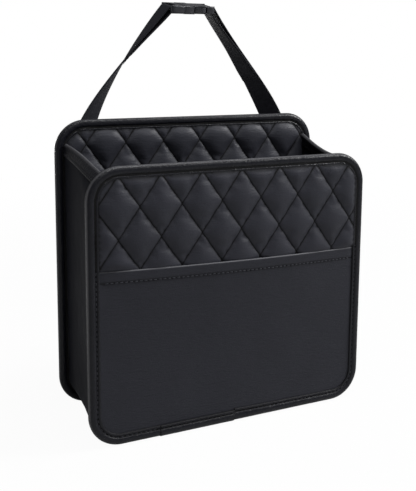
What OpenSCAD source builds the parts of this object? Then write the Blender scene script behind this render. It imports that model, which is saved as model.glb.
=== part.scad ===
// Back seat organizer: a hanging bag with two stiff quilted panels, a soft U-shaped
// gusset, a slip pocket and two webbing straps joined by a side-release buckle.
// The pocket side faces -Y, the seat side faces +Y, and the bag stands on Z = 0.

/* [Panels] */
// Width of both panels
panel_w = 255; // [225:1:290]
// Height of the back panel
back_h = 255; // [245:1:285]
// Height of the front panel
front_h = 226.5; // [205:0.5:240]
// Corner radius of both panels
corner_r = 27; // [22:0.5:34]
// Clear depth between the inner faces of the panels
cavity_d = 82; // [60:1:120]
// Thickness of a panel over its edge binding
panel_t = 6.2; // [5.8:0.1:7]
// Thickness of the stiffening board
board_t = 1.8; // [1.2:0.1:2]
// Thickness of the plain leather and lining sheets
sheet_t = 0.7; // [0.5:0.1:0.8]

/* [Edge binding] */
// Width of the binding tape on each face
tape_w = 9.5; // [7:0.5:12]
// Thickness of the binding tape
tape_t = 0.8; // [0.6:0.1:1]
// Radius of the binding round the panel edge
tape_edge_r = 2.2; // [1.5:0.1:2.6]
// Distance of the stitch groove from the panel edge
groove_in = 6.5; // [4:0.5:7.5]
// Length of the lapped tape ends along the bottom of the front panel
lap_len = 68; // [30:1:90]

/* [Quilting] */
// Width of one diamond
diamond_w = 35.8; // [28:0.2:44]
// Height of one diamond
diamond_h = 50.4; // [40:0.2:60]
// Height of the padding at the middle of a diamond
pillow_h = 2.2; // [1:0.1:3]
// Facets along one side of a diamond
pillow_steps = 4; // [2:1:6]

/* [Pocket] */
// Height of the pocket mouth at its left end
pocket_h = 145; // [120:1:160]
// How much lower the mouth is at its right end
pocket_drop = 4; // [0:0.5:6]
// How far the mouth stands open at its middle
pocket_bow = 5.2; // [4.8:0.1:8]
// Depth of the folded hem at the mouth
hem_w = 10; // [6:0.5:14]
// Extra thickness of the folded hem
hem_extra = 0.8; // [0.5:0.1:1.2]

/* [Gusset] */
// Thickness of the gusset
gusset_t = 1.2; // [0.8:0.1:1.6]
// Distance of the gusset from the panel edge at the back panel
gusset_back_in = 8; // [5:0.5:8.2]
// Distance of the gusset from the panel edge at the front panel
gusset_front_in = 2; // [1:0.5:6]
// How far the soft sides draw in halfway between the panels
gusset_waist = 1.6; // [0:0.2:4]
// How much the left top edge of the gusset rises halfway between the panels
left_edge_rise = 3; // [-6:0.5:6]
// How much the right top edge of the gusset rises halfway between the panels
right_edge_rise = -4; // [-6:0.5:6]

/* [Straps] */
// Width of the webbing
strap_w = 20; // [18:0.5:20]
// Thickness of the webbing
strap_t = 1.4; // [1:0.1:1.5]
// Length of webbing sewn flat on the rear of the back panel
sewn_len = 22; // [15:1:35]
// Distance of the left strap from the left edge, where it is sewn
left_strap_in = 25; // [20:0.5:40]
// Distance of the right strap from the right edge, where it is sewn
right_strap_in = 32; // [20:0.5:40]
// Length of the folded tail on the left strap
left_tail = 28; // [20:1:60]
// Length of the folded tail on the right strap
right_tail = 74; // [20:1:80]

/* [Buckle] */
// Height of the middle of the buckle above the floor
buckle_z = 351.8; // [340:0.2:380]
// Distance of the buckle behind the inner face of the back panel
buckle_back = 8.3; // [6:0.1:12]
// How much the rear edge of the buckle is raised, in degrees
buckle_tilt = 9.5; // [0:0.5:14]
// Width of the buckle
buckle_w = 27; // [26.6:0.1:28]
// Thickness of the socket's collar
collar_t = 7.6; // [7.4:0.1:8.4]

/* [Hidden] */
$fn = 48;

// Small gap between pieces that are made of facets and would otherwise touch
seam_gap = 0.15;
// Gap between the tape wrapped round an edge and the sheets inside it
edge_gap = 0.1;
half_w = panel_w / 2;
sheet_in = tape_t + edge_gap;
window_in = tape_w + edge_gap;

// The layers of a panel, measured from its rear face towards the viewer
layer_1 = tape_t;
layer_2 = layer_1 + sheet_t;
layer_3 = layer_2 + board_t;
layer_5 = panel_t - tape_t;
layer_4 = layer_5 - 1.2;
pocket_t = layer_5 - layer_4;

// Where two seams of the quilting cross, from the left edge and from the top edge
back_cross = [27, 21];
front_cross = [25, 7.5];

// How far inside the binding the pocket sheet is still held flat, at its sides and bottom
pocket_held_side = 2.5;
pocket_held_low = 7;

// The buckle: places along its length, counted from its middle
bar_r = 1.3;
plug_back_x = -22.9;
plug_bar_x = plug_back_x + bar_r;
plug_slot_x = -16.9;
plug_face_x = -10.4;
mouth_x = -10.2;
window_x = 0;
window_end_x = 12.2;
socket_slot_x = 14.2;
socket_end_x = 20.2;
socket_bar_x = socket_end_x - bar_r;
edge_round = 1.6;
prong_y = 10.05;
prong_root_r = 1.05;
wrap_r = bar_r + seam_gap + strap_t / 2;
bar_axis = [0, cos(buckle_tilt), sin(buckle_tilt)];

// The straps: where they leave the panel, which way they start, the angle at which they
// reach the buckle and how far ahead of it they have straightened, and their rings
sewn_top_z = back_h - 30;
left_lead = [3, 13.5, 33];
right_lead = [0, 9, 33];
left_rise = 51;
right_rise = 56;
left_reach = 40;
right_reach = 55;
left_rings = strap_rings(-1, left_strap_in - half_w, left_lead, plug_bar_x, left_rise, left_reach, left_tail);
right_rings = strap_rings(1, half_w - right_strap_in, right_lead, socket_bar_x, right_rise, right_reach,
    right_tail);

// The faces of the panels along Y, with the whole object centred on Y = 0
pocket_reach = pocket_bow + hem_extra + pocket_t + layer_4 - panel_t;
buckle_reach = (buckle_w / 2 - edge_round) * cos(buckle_tilt)
    + (collar_t / 2 - edge_round) * sin(buckle_tilt) + edge_round;
rear_reach = max([for (rings = [left_rings, right_rings], ring = rings, p = ring) p[1]]);
back_face_y = (cavity_d + panel_t + pocket_reach - max(rear_reach, buckle_back + buckle_reach)) / 2;
back_rear_y = back_face_y + panel_t;
front_rear_y = back_face_y - cavity_d;
buckle_y = back_face_y + buckle_back;

leather = [0.11, 0.11, 0.13];
leather_plain = [0.15, 0.15, 0.17];
lining_tone = [0.2, 0.2, 0.22];
board_tone = [0.45, 0.42, 0.38];
foam_tone = [0.75, 0.74, 0.7];
webbing = [0.08, 0.08, 0.09];
plastic = [0.06, 0.06, 0.07];

// General helpers

function mix(a, b, t) = a + (b - a) * t;
function clamp01(t) = min(1, max(0, t));
function smooth(t) = let (c = clamp01(t)) c * c * (3 - 2 * c);
function unit(v) = v / norm(v);
function bez(p, t) = p[0] * pow(1 - t, 3) + p[1] * 3 * t * pow(1 - t, 2)
    + p[2] * 3 * t * t * (1 - t) + p[3] * pow(t, 3);
function dbez(p, t) = 3 * ((p[1] - p[0]) * pow(1 - t, 2)
    + (p[2] - p[1]) * 2 * t * (1 - t) + (p[3] - p[2]) * t * t);

// A closed skin over rings of equal length, where point i of a ring faces point
// m - 1 - i across the thickness of the wall
module wall_skin(rings) {
    m = len(rings[0]);
    n = len(rings);
    last = (n - 1) * m;
    sides = [for (j = [0:n - 2], i = [0:m - 1]) let (k = (i + 1) % m)
        each [[j * m + i, j * m + k, (j + 1) * m + k], [j * m + i, (j + 1) * m + k, (j + 1) * m + i]]];
    near_cap = [for (i = [0:m / 2 - 2]) each [[i, m - 1 - i, m - 2 - i], [i, m - 2 - i, i + 1]]];
    far_cap = [for (f = near_cap) [last + f[0], last + f[2], last + f[1]]];
    polyhedron([for (r = rings) each r], concat(sides, near_cap, far_cap));
}

// Panels: drawn flat as width by height, then stood up with layer 0 to the rear

module stand(rear_y) {
    translate([0, rear_y, 0]) rotate([90, 0, 0]) children();
}

module outline(h, inset) {
    r = corner_r - inset;
    w = panel_w - 2 * inset;
    translate([-w / 2, corner_r]) square([w, h - 2 * corner_r]);
    translate([corner_r - half_w, inset]) square([panel_w - 2 * corner_r, h - 2 * inset]);
    for (x = [corner_r - half_w, half_w - corner_r], y = [corner_r, h - corner_r])
        translate([x, y]) circle(r);
}

module layer(h, inset, from, to) {
    translate([0, 0, from]) linear_extrude(to - from) outline(h, inset);
}

// Edge binding: a folded tape with a rounded edge and a stitch groove on both faces.
// x runs inwards from the panel edge, y runs through the panel.

module tape_section(extra) {
    groove_w = 0.8;
    groove_deep = 0.35;
    r = tape_edge_r;
    difference() {
        union() {
            translate([r, 0]) square([tape_w - r, panel_t + extra]);
            translate([0, r]) square([tape_w, panel_t - 2 * r]);
            translate([r, r]) circle(r);
            translate([r, panel_t - r]) circle(r);
        }
        translate([tape_t, tape_t]) square([tape_w, panel_t - 2 * tape_t]);
        for (y = [0, panel_t + extra])
            translate([groove_in, y - groove_deep]) square([groove_w, 2 * groove_deep]);
    }
}

module tape_straight(length, extra = 0) {
    translate([-length / 2, 0, 0]) rotate([90, 0, 90]) linear_extrude(length) tape_section(extra);
}

module tape_corner() {
    rotate_extrude(angle = 90) translate([corner_r, 0]) mirror([1, 0]) tape_section(0);
}

module tape_ring(h) {
    run_w = panel_w - 2 * corner_r;
    run_h = h - 2 * corner_r;
    tape_straight(run_w);
    translate([0, h, 0]) mirror([0, 1, 0]) tape_straight(run_w);
    translate([-half_w, h / 2, 0]) mirror([1, 0, 0]) rotate([0, 0, 90]) tape_straight(run_h);
    translate([half_w, h / 2, 0]) rotate([0, 0, 90]) tape_straight(run_h);
    translate([half_w - corner_r, h - corner_r, 0]) tape_corner();
    translate([corner_r - half_w, h - corner_r, 0]) rotate([0, 0, 90]) tape_corner();
    translate([corner_r - half_w, corner_r, 0]) rotate([0, 0, 180]) tape_corner();
    translate([half_w - corner_r, corner_r, 0]) rotate([0, 0, 270]) tape_corner();
}

// Quilting: a leather sheet with padded diamonds. The seams lie where a or b is a whole
// number, and the points of the sheet lie on the seams and on lines parallel to them.

padding_fade = 6;
crown_power = 0.6;
function pillow(a, b) = pillow_h * pow(abs(sin(180 * a) * sin(180 * b)), crown_power);

// How far a rounded outline reaches down or up from its corner centres at a place x
function corner_reach(x, inset) = let (r = corner_r - inset, over = max(0, abs(x) - half_w + corner_r))
    sqrt(max(0, r * r - over * over));

// Height of the padding, which fades out towards the edge binding
function padding(x, y, x0, y0, h) = let (
    a = (x - x0) / diamond_w + (y - y0) / diamond_h,
    b = (x - x0) / diamond_w - (y - y0) / diamond_h,
    inner_w = half_w - corner_r,
    over_x = abs(x) - inner_w,
    over_y = max(corner_r - y, y - h + corner_r),
    from_centre = over_x > 0 && over_y > 0 ? norm([over_x, over_y]) : max(over_x, over_y),
    clear = corner_r - window_in - from_centre)
    pillow(a, b) * smooth(clear / padding_fade);

// The sheet between two heights low(x) = low_y + slope * x and the top of the panel.
// Where low_y is undef the sheet reaches down to the rounded bottom of the panel.
module quilted_sheet(h, x0, y0, low_y, slope) {
    step_x = diamond_w / (2 * pillow_steps);
    step_y = diamond_h / pillow_steps;
    squeeze = 0.3;
    base_mid_share = 0.8;
    edge_strip = 2.4;
    fade = 1;
    sheet_w = half_w - sheet_in;
    window_w = half_w - window_in;
    edge_x = [sheet_w, sheet_w - edge_strip, window_w];
    first_i = ceil((fade - window_w - x0) / step_x);
    last_i = floor((window_w - fade - x0) / step_x);
    columns = concat([for (x = edge_x) [-x, 0]], [for (i = [first_i:last_i]) [x0 + i * step_x, abs(i % 2)]],
        [for (i = [2:-1:0]) [edge_x[i], 0]]);
    bottom_y = is_undef(low_y) ? window_in : low_y - abs(slope) * half_w;
    first_k = floor((bottom_y - y0) / step_y) - 1;
    last_k = ceil((h - window_in - y0) / step_y);
    count = last_k - first_k + 1;
    top = [for (c = columns) let (
        x = c[0],
        sheet_reach = corner_reach(x, sheet_in),
        window_reach = min(corner_reach(x, window_in), sheet_reach - squeeze),
        high = h - corner_r + window_reach,
        high_end = h - corner_r + sheet_reach,
        low_end = is_undef(low_y) ? corner_r - sheet_reach : low_y + slope * x,
        low = is_undef(low_y) ? corner_r - window_reach : low_end + squeeze)
        concat([[x, low_end]],
            [[x, low]],
            [for (j = [0:count - 1]) let (y = y0 + (first_k + j + c[1] / 2) * step_y)
                [x, min(high - squeeze * (count - j), max(low + squeeze * (j + 1), y))]],
            [[x, high]],
            [[x, high_end]])];
    m = count + 4;
    n = len(columns);
    all = n * m;
    lifted = [for (i = [0:n - 1], j = [0:m - 1]) let (
        p = top[i][j],
        inside = i > 2 && i < n - 3 && j < m - 2)
        [p[0], p[1], layer_5 + (inside ? padding(p[0], p[1], x0, y0, h) : 0)]];
    skin = [for (i = [0:n - 2], j = [0:m - 2]) let (k = i * m + j)
        each columns[i][1] == 0 ? [[k, k + 1, k + m], [k + 1, k + m + 1, k + m]]
            : [[k, k + m + 1, k + m], [k, k + 1, k + m + 1]]];
    rim = concat([for (i = [0:n - 1]) i * m], [for (j = [1:m - 1]) (n - 1) * m + j],
        [for (i = [n - 2:-1:0]) i * m + m - 1], [for (j = [m - 2:-1:1]) j]);
    base = [for (k = rim) [lifted[k][0], lifted[k][1], layer_4]];
    base_mid = [[0, h * base_mid_share, layer_4]];
    count_rim = len(rim);
    mid = all + count_rim;
    wall = [for (i = [0:count_rim - 1]) let (k = (i + 1) % count_rim)
        each [[rim[i], all + k, all + i], [rim[i], rim[k], all + k], [all + i, all + k, mid]]];
    polyhedron(concat(lifted, base, base_mid), concat(skin, wall));
}

// Back panel

module back_cover() {
    color(leather_plain) stand(back_rear_y) layer(back_h, sheet_in, layer_1, layer_2);
}

module back_board() {
    color(board_tone) stand(back_rear_y) layer(back_h, sheet_in, layer_2, layer_3);
}

module back_foam() {
    color(foam_tone) stand(back_rear_y) layer(back_h, sheet_in, layer_3, layer_4);
}

module back_quilting() {
    color(leather) stand(back_rear_y) quilted_sheet(back_h, back_cross[0] - half_w, back_h - back_cross[1],
        undef, 0);
}

module back_binding() {
    color(leather_plain) stand(back_rear_y) tape_ring(back_h);
}

// Front panel

// Height of the pocket mouth at a place across the panel
function mouth_y(x) = pocket_h - pocket_drop * (x / panel_w + 0.5);

module above_mouth() {
    polygon([[-half_w, mouth_y(-half_w)], [half_w, mouth_y(half_w)], [half_w, front_h], [-half_w, front_h]]);
}

module below_mouth() {
    polygon([[-half_w, 0], [half_w, 0], [half_w, mouth_y(half_w)], [-half_w, mouth_y(-half_w)]]);
}

module front_lining() {
    color(lining_tone) stand(front_rear_y) layer(front_h, sheet_in, layer_1, layer_2);
}

module front_board() {
    color(board_tone) stand(front_rear_y) layer(front_h, sheet_in, layer_2, layer_3);
}

module front_foam() {
    color(foam_tone) stand(front_rear_y) translate([0, 0, layer_3]) linear_extrude(layer_4 - layer_3)
        intersection() {
            outline(front_h, sheet_in);
            above_mouth();
        }
}

module front_quilting() {
    low_y = mouth_y(0) + seam_gap;
    color(leather) stand(front_rear_y)
        quilted_sheet(front_h, front_cross[0] - half_w, front_h - front_cross[1], low_y,
            -pocket_drop / panel_w);
}

module front_pocket_backing() {
    color(lining_tone) stand(front_rear_y) translate([0, 0, layer_3]) linear_extrude(layer_4 - layer_3)
        intersection() {
            outline(front_h, sheet_in);
            below_mouth();
        }
}

// The pocket sheet bows out from the backing towards the middle of its mouth
free_w = half_w - window_in - pocket_held_side;
free_y = window_in + pocket_held_low;
function bow(x, y) = let (across = clamp01(1 - pow(x / free_w, 2)),
    up = clamp01((y - free_y) / (mouth_y(x) - free_y))) pocket_bow * across * pow(up, 1.5);

module front_pocket() {
    middle_steps = 12;
    rows = 7;
    step_h = 0.6;
    lip_h = 0.5;
    lip_share = 0.3;
    r = corner_r - sheet_in;
    flat_w = half_w - corner_r;
    edge_a = acos((free_w - flat_w) / r);
    corner_a = [0, edge_a / 3, edge_a * 2 / 3, edge_a, mix(edge_a, 90, 0.5), 90];
    // Each column is its place across the panel and the height of its lower end
    left = [for (a = corner_a) [-flat_w - r * cos(a), corner_r - r * sin(a)]];
    middle = [for (i = [1:middle_steps - 1]) [mix(-flat_w, flat_w, i / middle_steps), sheet_in]];
    right = [for (i = [len(left) - 1:-1:0]) [-left[i][0], left[i][1]]];
    rings = [for (c = concat(left, middle, right)) let (
        top = mouth_y(c[0]),
        hem = top - hem_w,
        first = max(c[1] + 1, free_y),
        heights = concat([c[1]], [for (j = [0:rows - 2]) mix(first, hem - step_h, j / (rows - 2))],
            [hem, top - lip_h, top]),
        inner = [for (y = heights) [c[0], y, layer_4 + bow(c[0], y)]],
        last = len(heights) - 1,
        outer = [for (j = [0:last]) let (thick = j < rows ? 0 : j == last ? lip_share : 1)
            inner[j] + [0, 0, pocket_t + hem_extra * thick * smooth((free_w - abs(c[0])) / 3)]])
        concat(outer, [for (j = [len(inner) - 1:-1:0]) inner[j]])];
    color(leather_plain) stand(front_rear_y) wall_skin(rings);
}

module front_binding() {
    lap_from_left = 60;
    lap_x = -half_w + lap_from_left + lap_len / 2;
    lap_extra = 0.4;
    color(leather_plain) stand(front_rear_y) {
        tape_ring(front_h);
        translate([lap_x, 0, 0]) tape_straight(lap_len, lap_extra);
    }
}

// Gusset: a U of soft leather that follows the panels' sides and bottom.
// v runs from 0 at the back panel to 1 at the front panel.

gusset_turn_back = 18;
gusset_turn_front = 58;
function gusset_y(v) = mix(back_face_y, front_rear_y, v);
function gusset_in(v) = mix(gusset_back_in, gusset_front_in, v) + gusset_waist * sin(180 * v);
function gusset_top(v, rise) = mix(back_h, front_h, v) - corner_r + rise * sin(180 * v);
function gusset_turn(v) = mix(gusset_turn_back, gusset_turn_front, v);

// A point on the left side of the U, s below its top end and d inside its outer face,
// for a top edge that rises halfway between the panels
function side_point(v, s, d, rise) = let (
    r = corner_r - gusset_in(v) - d,
    turn = gusset_turn(v) - s / r * 180 / PI,
    x = -half_w + corner_r - r * cos(max(0, turn)),
    z = gusset_top(v, rise) + (turn > 0 ? r * sin(turn) : turn * r * PI / 180))
    [x, gusset_y(v), z];

// The left half of the U from its top end to the middle of the bottom
function half_path(v, d, rise) = let (
    turn_steps = 5,
    side_steps = 5,
    corner_steps = 7,
    r = corner_r - gusset_in(v) - d,
    arc = r * gusset_turn(v) * PI / 180,
    centre_x = -half_w + corner_r,
    straight = gusset_top(v, rise) - corner_r)
    concat(
        [for (i = [0:turn_steps]) side_point(v, arc * i / turn_steps, d, rise)],
        [for (i = [1:side_steps - 1]) side_point(v, arc + straight * i / side_steps, d, rise)],
        [for (i = [0:corner_steps]) let (a = 180 + 90 * i / corner_steps)
            [centre_x + r * cos(a), gusset_y(v), corner_r + r * sin(a)]],
        [for (i = [1:2]) [centre_x * (1 - i / 3), gusset_y(v), corner_r - r]]);

function other_side(points) = [for (i = [len(points) - 1:-1:0]) [-points[i][0], points[i][1], points[i][2]]];
function whole_path(v, d) = concat(half_path(v, d, left_edge_rise),
    other_side(half_path(v, d, right_edge_rise)));
function backwards(points) = [for (i = [len(points) - 1:-1:0]) points[i]];

module gusset() {
    steps = 7;
    color(leather_plain) wall_skin([for (i = [steps:-1:0]) let (v = i / steps)
        concat(whole_path(v, 0), backwards(whole_path(v, gusset_t)))]);
}

// The tape folded over the top end of the gusset
module gusset_tape(rise) {
    steps = 7;
    folds = 3;
    g = seam_gap;
    rings = [for (i = [steps:-1:0]) let (
        v = i / steps,
        down = [for (k = [folds:-1:0]) hem_w * k / folds],
        outer = concat(
            [for (s = down) side_point(v, s - (s > 0 ? 0 : g + tape_t), -g - tape_t, rise)],
            backwards([for (s = down)
                side_point(v, s - (s > 0 ? 0 : g + tape_t), gusset_t + g + tape_t, rise)])),
        inner = concat(
            [for (s = down) side_point(v, s - (s > 0 ? 0 : g), -g, rise)],
            backwards([for (s = down) side_point(v, s - (s > 0 ? 0 : g), gusset_t + g, rise)])))
        concat(inner, backwards(outer))];
    wall_skin(rings);
}

module gusset_tape_left() {
    color(leather) gusset_tape(left_edge_rise);
}

module gusset_tape_right() {
    color(leather) mirror([1, 0, 0]) gusset_tape(right_edge_rise);
}

// Straps: flat webbing that is sewn on the rear of the back panel, turns as it rises,
// wraps round a bar of the buckle and comes back along itself as a sewn tail.
// side is -1 for the left strap and 1 for the right strap.

function arrival(side, rise) = [-side * cos(rise), -sin(rise) * sin(buckle_tilt),
    sin(rise) * cos(buckle_tilt)];
function turn_at(side, t) = side < 0 ? 90 * (1 - pow(1 - t, 1.8)) : 90 * pow(t, 1.3);
function across_at(side, dir, t) = let (
    inner = side * [-dir[2], 0, dir[0]],
    w = cos(turn_at(side, t)) * unit(inner) + sin(turn_at(side, t)) * bar_axis)
    unit(w - (w * dir) * dir);
function strap_ring(p, across, dir) = let (
    w = across * strap_w / 2,
    n = cross(across, dir) * strap_t / 2)
    [p + w + n, p - w + n, p - w - n, p + w - n];

// The rings of a strap, with Y counted from the inner face of the back panel
function strap_rings(side, anchor_x, lead, bar_x, rise, reach, tail) = let (
    rise_steps = 22,
    wrap_steps = 9,
    tail_step = 4,
    tail_steps = ceil(tail / tail_step),
    closing = 14,
    end_dir = arrival(side, rise),
    bar = [bar_x, buckle_back, buckle_z],
    out = side * cross(bar_axis, end_dir),
    top = bar + wrap_r * out,
    foot = [anchor_x, panel_t + strap_t / 2, sewn_top_z],
    route = [foot, foot + lead, top - end_dir * reach, top],
    length = norm(route[3] - route[0]),
    up = [0, 0, 1],
    flat = across_at(side, up, 0))
    concat(
        [for (z = [-sewn_len, 0]) strap_ring(foot + [0, 0, z], flat, up)],
        [for (i = [1:rise_steps]) let (t = i / rise_steps, dir = unit(dbez(route, t)))
            strap_ring(bez(route, t), across_at(side, dir, t), dir)],
        [for (i = [1:wrap_steps]) let (a = 180 * i / wrap_steps)
            strap_ring(bar + wrap_r * (out * cos(a) + end_dir * sin(a)), bar_axis,
                end_dir * cos(a) - out * sin(a))],
        [for (i = [1:tail_steps]) let (
            s = tail * i / tail_steps,
            t = 1 - s / length,
            dir = unit(dbez(route, t)),
            w = across_at(side, dir, t),
            apart = mix(2 * wrap_r, strap_t + seam_gap, smooth(s / closing)))
            strap_ring(bez(route, t) - side * cross(w, dir) * apart, w, -dir)]);

module strap(rings) {
    color(webbing) translate([0, back_face_y, 0]) wall_skin(rings);
}

module strap_left() {
    strap(left_rings);
}

module strap_right() {
    strap(right_rings);
}

// Buckle: its length runs along X and its thickness along Z before it is tilted

module in_place() {
    translate([0, buckle_y, buckle_z]) rotate([buckle_tilt, 0, 0]) children();
}

module round_box(x0, x1, w, t, r) {
    rotate([90, 0, 90]) translate([0, 0, x0]) linear_extrude(x1 - x0) {
        square([w - 2 * r, t], center = true);
        square([w, t - 2 * r], center = true);
        for (y = [r - w / 2, w / 2 - r], z = [r - t / 2, t / 2 - r]) translate([y, z]) circle(r);
    }
}

module slab(x0, x1, w, t) {
    translate([x0, -w / 2, -t / 2]) cube([x1 - x0, w, t]);
}

module cross_bar(x) {
    translate([x, 0, 0]) rotate([90, 0, 0]) cylinder(r = bar_r, h = strap_w + 3, center = true);
}

strap_slot_w = strap_w + 1;
body_w = buckle_w - 2.2;
body_t = collar_t - 0.6;
bay_w = buckle_w - 3.8;
bay_t = 5;

module buckle_socket() {
    finger_r = 26;
    finger_deep = 1.1;
    corner = 3;
    color(plastic) in_place() {
        difference() {
            union() {
                round_box(mouth_x, window_x, buckle_w, collar_t, edge_round);
                intersection() {
                    round_box(window_x - 1, socket_end_x, body_w, body_t, edge_round);
                    linear_extrude(2 * collar_t, center = true) {
                        translate([window_x - 1, -body_w / 2])
                            square([socket_end_x - corner - window_x + 1, body_w]);
                        translate([window_x, corner - body_w / 2])
                            square([socket_end_x - window_x, body_w - 2 * corner]);
                        for (y = [-1, 1])
                            translate([socket_end_x - corner, y * (body_w / 2 - corner)]) circle(corner);
                    }
                }
            }
            // Bay for the plug, open at the mouth
            slab(mouth_x - 1, window_end_x, bay_w, bay_t);
            // Side windows in which the prongs catch
            slab(window_x, window_end_x, buckle_w + 2, bay_t);
            // Slot for the webbing
            slab(socket_slot_x, socket_end_x - 2 * bar_r, strap_slot_w, collar_t + 2);
            slab(socket_slot_x, socket_end_x + 1, strap_slot_w, collar_t + 2);
            // Finger hollows over the prongs
            for (y = [-1, 1])
                translate([(window_x + window_end_x) / 2, y * (body_w / 2 + finger_r - finger_deep), 0])
                    cylinder(r = finger_r, h = 2 * collar_t, center = true, $fn = 96);
        }
        cross_bar(socket_bar_x);
    }
}

module buckle_plug() {
    corner = 3.5;
    base_t = collar_t - 0.4;
    rail_w = prong_y * 2 - 5.4;
    rib_w = 3;
    rib_t = 2.4;
    rib_end_x = 7;
    pilot_len = 2.6;
    color(plastic) in_place() {
        difference() {
            intersection() {
                round_box(plug_back_x, plug_face_x, buckle_w, base_t, edge_round);
                linear_extrude(2 * collar_t, center = true) {
                    translate([plug_back_x + corner, -buckle_w / 2])
                        square([plug_face_x - plug_back_x - corner, buckle_w]);
                    translate([plug_back_x, corner - buckle_w / 2])
                        square([plug_face_x - plug_back_x, buckle_w - 2 * corner]);
                    for (y = [-1, 1])
                        translate([plug_back_x + corner, y * (buckle_w / 2 - corner)]) circle(corner);
                }
            }
            slab(plug_back_x - 1, plug_slot_x, strap_slot_w, collar_t + 2);
            // Round seats for the roots of the prongs
            for (y = [-1, 1]) translate([plug_face_x, y * prong_y, 0])
                cylinder(r = prong_root_r + seam_gap, h = bay_t, center = true);
        }
        cross_bar(plug_bar_x);
        // Pilot block and guide rib
        slab(plug_face_x - 1, plug_face_x + pilot_len, rail_w, bay_t - 0.5);
        slab(plug_face_x - 1, rib_end_x, rib_w, rib_t);
        translate([rib_end_x, 0, 0]) cylinder(r = rib_w / 2, h = rib_t, center = true);
    }
}

// One spring arm of the plug: a thin arm with a thicker catch that fills the window
module prong() {
    arm_t = 4.2;
    catch_t = 4.6;
    arm_in = 9.1;
    arm_out = 11;
    tip_x = 9.9;
    tip_y = 10.9;
    tip_r = 1.5;
    grips = 3;
    grip_pitch = 2;
    difference() {
        union() {
            translate([plug_face_x, prong_y, 0]) cylinder(r = prong_root_r, h = arm_t, center = true);
            linear_extrude(arm_t, center = true)
                polygon([[plug_face_x, arm_in], [plug_face_x, arm_out], [window_x + 1, arm_out],
                    [window_x + 1, arm_in]]);
            linear_extrude(catch_t, center = true) {
                polygon([[window_x + 0.4, arm_in], [window_x + 0.4, 12.6], [3, 13.1], [7.5, 13.3],
                    [tip_x + 0.3, tip_y + tip_r], [tip_x, tip_y - tip_r], [2, arm_in]]);
                translate([tip_x, tip_y]) circle(tip_r);
            }
        }
        for (i = [0:grips - 1]) translate([3.4 + i * grip_pitch, 13.5, 0])
            cylinder(r = 0.45, h = 2 * catch_t, center = true);
    }
}

module prong_front() {
    color(plastic) in_place() mirror([0, 1, 0]) prong();
}

module prong_rear() {
    color(plastic) in_place() prong();
}

back_cover();
back_board();
back_foam();
back_quilting();
back_binding();
front_lining();
front_board();
front_foam();
front_quilting();
front_pocket_backing();
front_pocket();
front_binding();
gusset();
gusset_tape_left();
gusset_tape_right();
strap_left();
strap_right();
buckle_socket();
buckle_plug();
prong_front();
prong_rear();
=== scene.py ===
import math
import bmesh
import bpy
import numpy as np
from mathutils import Matrix, Vector, noise


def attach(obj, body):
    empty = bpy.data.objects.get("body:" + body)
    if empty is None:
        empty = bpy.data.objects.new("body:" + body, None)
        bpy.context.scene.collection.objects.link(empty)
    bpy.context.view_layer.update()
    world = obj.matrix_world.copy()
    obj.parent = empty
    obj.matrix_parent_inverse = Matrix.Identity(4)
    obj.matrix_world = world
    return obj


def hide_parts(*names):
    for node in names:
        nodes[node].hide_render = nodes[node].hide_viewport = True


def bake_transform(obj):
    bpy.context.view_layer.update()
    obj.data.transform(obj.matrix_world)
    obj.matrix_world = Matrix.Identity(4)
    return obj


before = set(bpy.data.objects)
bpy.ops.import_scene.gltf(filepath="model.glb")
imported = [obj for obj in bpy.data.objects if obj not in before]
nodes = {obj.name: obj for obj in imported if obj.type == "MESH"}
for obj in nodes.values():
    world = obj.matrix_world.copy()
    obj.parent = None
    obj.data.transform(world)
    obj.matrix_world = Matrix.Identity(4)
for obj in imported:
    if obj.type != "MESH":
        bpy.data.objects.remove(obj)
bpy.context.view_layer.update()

bpy.ops.object.select_all(action="DESELECT")

mm = 0.001

# The bag's own measures, in millimetres, as its source has them
panel_w, back_h, front_h = 255.0, 255.0, 226.5
corner_r, panel_t = 27.0, 6.2
half_w = panel_w / 2
back_face_y, back_rear_y, front_rear_y = 34.6867, 40.8867, -47.3133
board_level, skin_level = 4.2, 5.4
hem_w = 10.0
buckle_z, buckle_tilt, buckle_back = 351.8, math.radians(9.5), 8.3


# Materials

# Painted shade and painted highlight: the colours that creases, grooves and seams are shaded
# towards, and that rims and folds are lit towards.
painted_shade_colour, crease_roughness = (0.0012, 0.0012, 0.0015), 0.9
painted_highlight_colour = (0.12, 0.12, 0.128)


def new_material(name, roughness, specular):
    """A principled material with its node tree and shader."""
    material = bpy.data.materials.new(name)
    material.use_nodes = True
    shader = material.node_tree.nodes["Principled BSDF"]
    shader.inputs["Roughness"].default_value = roughness
    shader.inputs["Specular IOR Level"].default_value = specular
    return material, material.node_tree, shader


def add_node(tree, kind, **values):
    """Adds a shader node and sets its properties and input values."""
    made = tree.nodes.new(kind)
    for key, value in values.items():
        if hasattr(made, key):
            setattr(made, key, value)
        else:
            made.inputs[key.replace("_", " ")].default_value = value
    return made


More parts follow.
